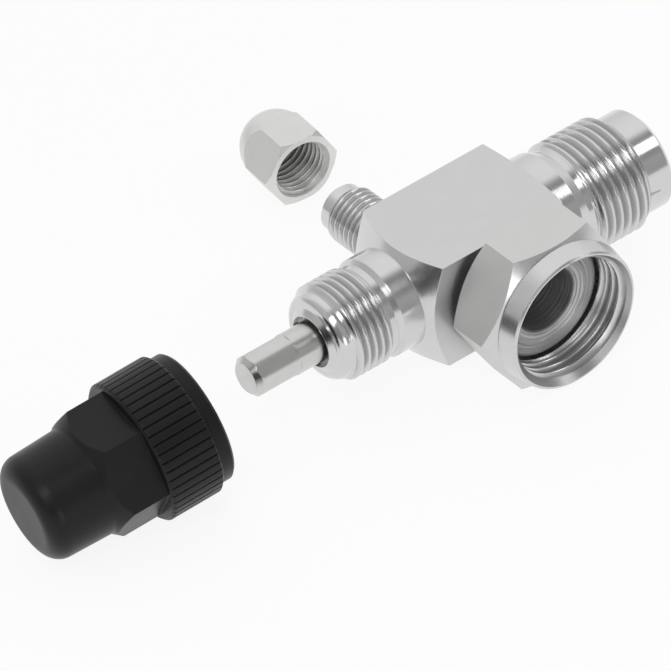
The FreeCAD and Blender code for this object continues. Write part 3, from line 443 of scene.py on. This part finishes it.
# The mould's spark-eroded grain, 0.25 mm across, gives the nylon a soft sheen, and its gloss changes
# slowly over some 7 mm. The edges of the ribs are rounded by the mould.
nylon, tree, shader = finish_of("moulded_black_nylon")
place = add(tree, "ShaderNodeTexCoord").outputs["Object"]
grain = add(tree, "ShaderNodeTexNoise", {"Vector": place, "Scale": 1 / (0.25 * MM), "Detail": 2.0})
cloud = add(tree, "ShaderNodeTexNoise", {"Vector": place, "Scale": 1 / (7 * MM), "Detail": 3.0})
tone = add(tree, "ShaderNodeMix", {"Factor": cloud.outputs["Fac"], 6: shade("#131314"), 7: shade("#1c1c1d")},
           data_type="RGBA")
rough = add(tree, "ShaderNodeMapRange", {"Value": cloud.outputs["Fac"], "To Min": 0.3, "To Max": 0.4})
soft = add(tree, "ShaderNodeBevel", {"Radius": 0.4 * MM}, samples=4)
bump = add(tree, "ShaderNodeBump", {"Height": grain.outputs["Fac"], "Distance": 0.012 * MM,
                                    "Normal": soft.outputs[0]})
tree.links.new(tone.outputs[2], shader.inputs["Base Color"])
tree.links.new(rough.outputs[0], shader.inputs["Roughness"])
tree.links.new(bump.outputs[0], shader.inputs["Normal"])
shader.inputs["IOR"].default_value = 1.53
shader.inputs["Specular IOR Level"].default_value = 0.2
cap_piece.data.materials.append(nylon)
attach(cap_piece, "body")

# Table: a white sheet, a hair below the lowest piece, that runs into a white surround.
# Seen straight or in a reflection it is white, and it keeps the soft shadow of the object.
TABLE_HALF = 6.0
TABLE_GAP = 0.02 * MM
TABLE_SHARE_OF_WHITE = 0.9
table_height = cad_box[0].z - TABLE_GAP
corners = [(-TABLE_HALF, -TABLE_HALF, table_height), (TABLE_HALF, -TABLE_HALF, table_height),
           (TABLE_HALF, TABLE_HALF, table_height), (-TABLE_HALF, TABLE_HALF, table_height)]
table_mesh = bpy.data.meshes.new("table")
table_mesh.from_pydata(corners, [], [(0, 1, 2, 3)])
table_top = bpy.data.objects.new("table", table_mesh)
bpy.context.scene.collection.objects.link(table_top)
table_white, tree, shader = finish_of("white_table")
shader.inputs["Base Color"].default_value = shade("#f4f4f4")
shader.inputs["Roughness"].default_value = 0.9
path = add(tree, "ShaderNodeLightPath")
seen = add(tree, "ShaderNodeMath", {0: path.outputs["Is Camera Ray"], 1: path.outputs["Is Glossy Ray"]},
           operation="MAXIMUM")
seen = add(tree, "ShaderNodeMath", {0: seen.outputs[0], 1: path.outputs["Is Transmission Ray"]},
           operation="MAXIMUM")
share = add(tree, "ShaderNodeMath", {0: seen.outputs[0], 1: TABLE_SHARE_OF_WHITE}, operation="MULTIPLY")
white = add(tree, "ShaderNodeEmission", {"Color": (1, 1, 1, 1), "Strength": 1.0})
mixed = add(tree, "ShaderNodeMixShader", {0: share.outputs[0], 1: shader.outputs[0], 2: white.outputs[0]})
surface = next(n for n in tree.nodes if n.type == "OUTPUT_MATERIAL")
tree.links.new(mixed.outputs[0], surface.inputs["Surface"])
table_top.data.materials.append(table_white)

# Room: what the metal mirrors is white behind and overhead, half as bright on the camera's side, a
# third darker on the left, and darkest in a patch in front above, where the camera stands. The camera
# itself sees white.
DARK_PATCH = (0.468, -0.421, 0.777)
world = bpy.data.worlds.new("studio_surround")
bpy.context.scene.world = world
world.use_nodes = True
tree = world.node_tree
tree.nodes.clear()
way = add(tree, "ShaderNodeTexCoord").outputs["Generated"]
axes = add(tree, "ShaderNodeSeparateXYZ", {0: way}).outputs
to_patch = add(tree, "ShaderNodeVectorMath", {0: way, 1: DARK_PATCH}, operation="DOT_PRODUCT").outputs
room_tone = 1.0
for measure, start, end, first, last in (
    (axes["Z"], 0.0, 0.8, 0.84, 1.0),
    (axes["Y"], -0.2, 0.15, 0.5, 1.0),
    (axes["X"], -0.6, -0.1, 0.65, 1.0),
    (to_patch["Value"], 0.87, 0.98, 1.0, 0.6),
):
    limits = {"Value": measure, "From Min": start, "From Max": end, "To Min": first, "To Max": last}
    part = add(tree, "ShaderNodeMapRange", limits, interpolation_type="SMOOTHSTEP").outputs["Result"]
    room_tone = add(tree, "ShaderNodeMath", {0: room_tone, 1: part}, operation="MULTIPLY").outputs[0]
room = add(tree, "ShaderNodeBackground", {"Color": (1, 1, 1, 1), "Strength": room_tone})
paper = add(tree, "ShaderNodeBackground", {"Color": (1, 1, 1, 1), "Strength": 1.0})
path = add(tree, "ShaderNodeLightPath")
choice = add(tree, "ShaderNodeMixShader", {0: path.outputs["Is Camera Ray"], 1: room.outputs[0],
                                           2: paper.outputs[0]})
add(tree, "ShaderNodeOutputWorld", {"Surface": choice.outputs[0]})


# Lamps: three soft boxes. The right front one puts the white spots on the outlet's nose and threads,
# the low front one brightens the nut, and the long strip on the left gives the lines along the stem.
def soft_lamp(name, place, along, length, width, radiance):
    """Rectangular studio lamp that faces the valve, with its length along the given way."""
    data = bpy.data.lights.new(name, "AREA")
    data.shape = "RECTANGLE"
    data.size = length
    data.size_y = width
    data.energy = radiance * math.pi * length * width
    lamp = bpy.data.objects.new(name, data)
    bpy.context.scene.collection.objects.link(lamp)
    outward = Vector(place).normalized()
    along = Vector(along)
    along = (along - outward * along.dot(outward)).normalized()
    lamp.location = place
    lamp.rotation_mode = "QUATERNION"
    lamp.rotation_quaternion = Matrix((along, outward.cross(along), outward)).transposed().to_quaternion()
    lamp.visible_camera = False


soft_lamp("right_front_lamp", (0.208, -0.099, 0.203), (1, 0, 0), length=0.12, width=0.09, radiance=3.5)
soft_lamp("low_front_lamp", (-0.24, -0.85, 0.12), (1, 0, 0), length=0.3, width=0.22, radiance=3)
soft_lamp("left_front_strip", (-0.502, -0.276, 0.679), (0.755, -0.222, 0.47),
          length=0.9, width=0.25, radiance=3)

# Camera: a long lens, from the angle and distance at which the photograph was taken.
# The frame's centre is given across and up the picture from the point where the axes meet.
AZIMUTH = math.radians(-36.34)
ELEVATION = math.radians(39.59)
ROLL = math.radians(-4.28)
PIXELS_PER_METRE = 5628
IMAGE_SIDE = 671
LENS = 1000
FRAME_CENTRE_RIGHT = -25.02 * MM
FRAME_CENTRE_UP = -15.39 * MM
back = Vector((math.sin(AZIMUTH) * math.cos(ELEVATION), -math.cos(AZIMUTH) * math.cos(ELEVATION),
               math.sin(ELEVATION)))
camera_data = bpy.data.cameras.new("camera")
camera_data.lens = LENS
camera_data.clip_start = 0.1
camera_data.clip_end = 30
distance = LENS / camera_data.sensor_width * IMAGE_SIDE / PIXELS_PER_METRE
camera = bpy.data.objects.new("camera", camera_data)
bpy.context.scene.collection.objects.link(camera)
camera.rotation_mode = "QUATERNION"
camera.rotation_quaternion = (-back).to_track_quat("-Z", "Y") @ Quaternion((0, 0, 1), ROLL)
right = camera.rotation_quaternion @ Vector((1, 0, 0))
upright = camera.rotation_quaternion @ Vector((0, 1, 0))
camera.location = STEM_AXIS + right * FRAME_CENTRE_RIGHT + upright * FRAME_CENTRE_UP + back * distance
bpy.context.scene.camera = camera
bpy.context.scene.view_settings.view_transform = "Standard"
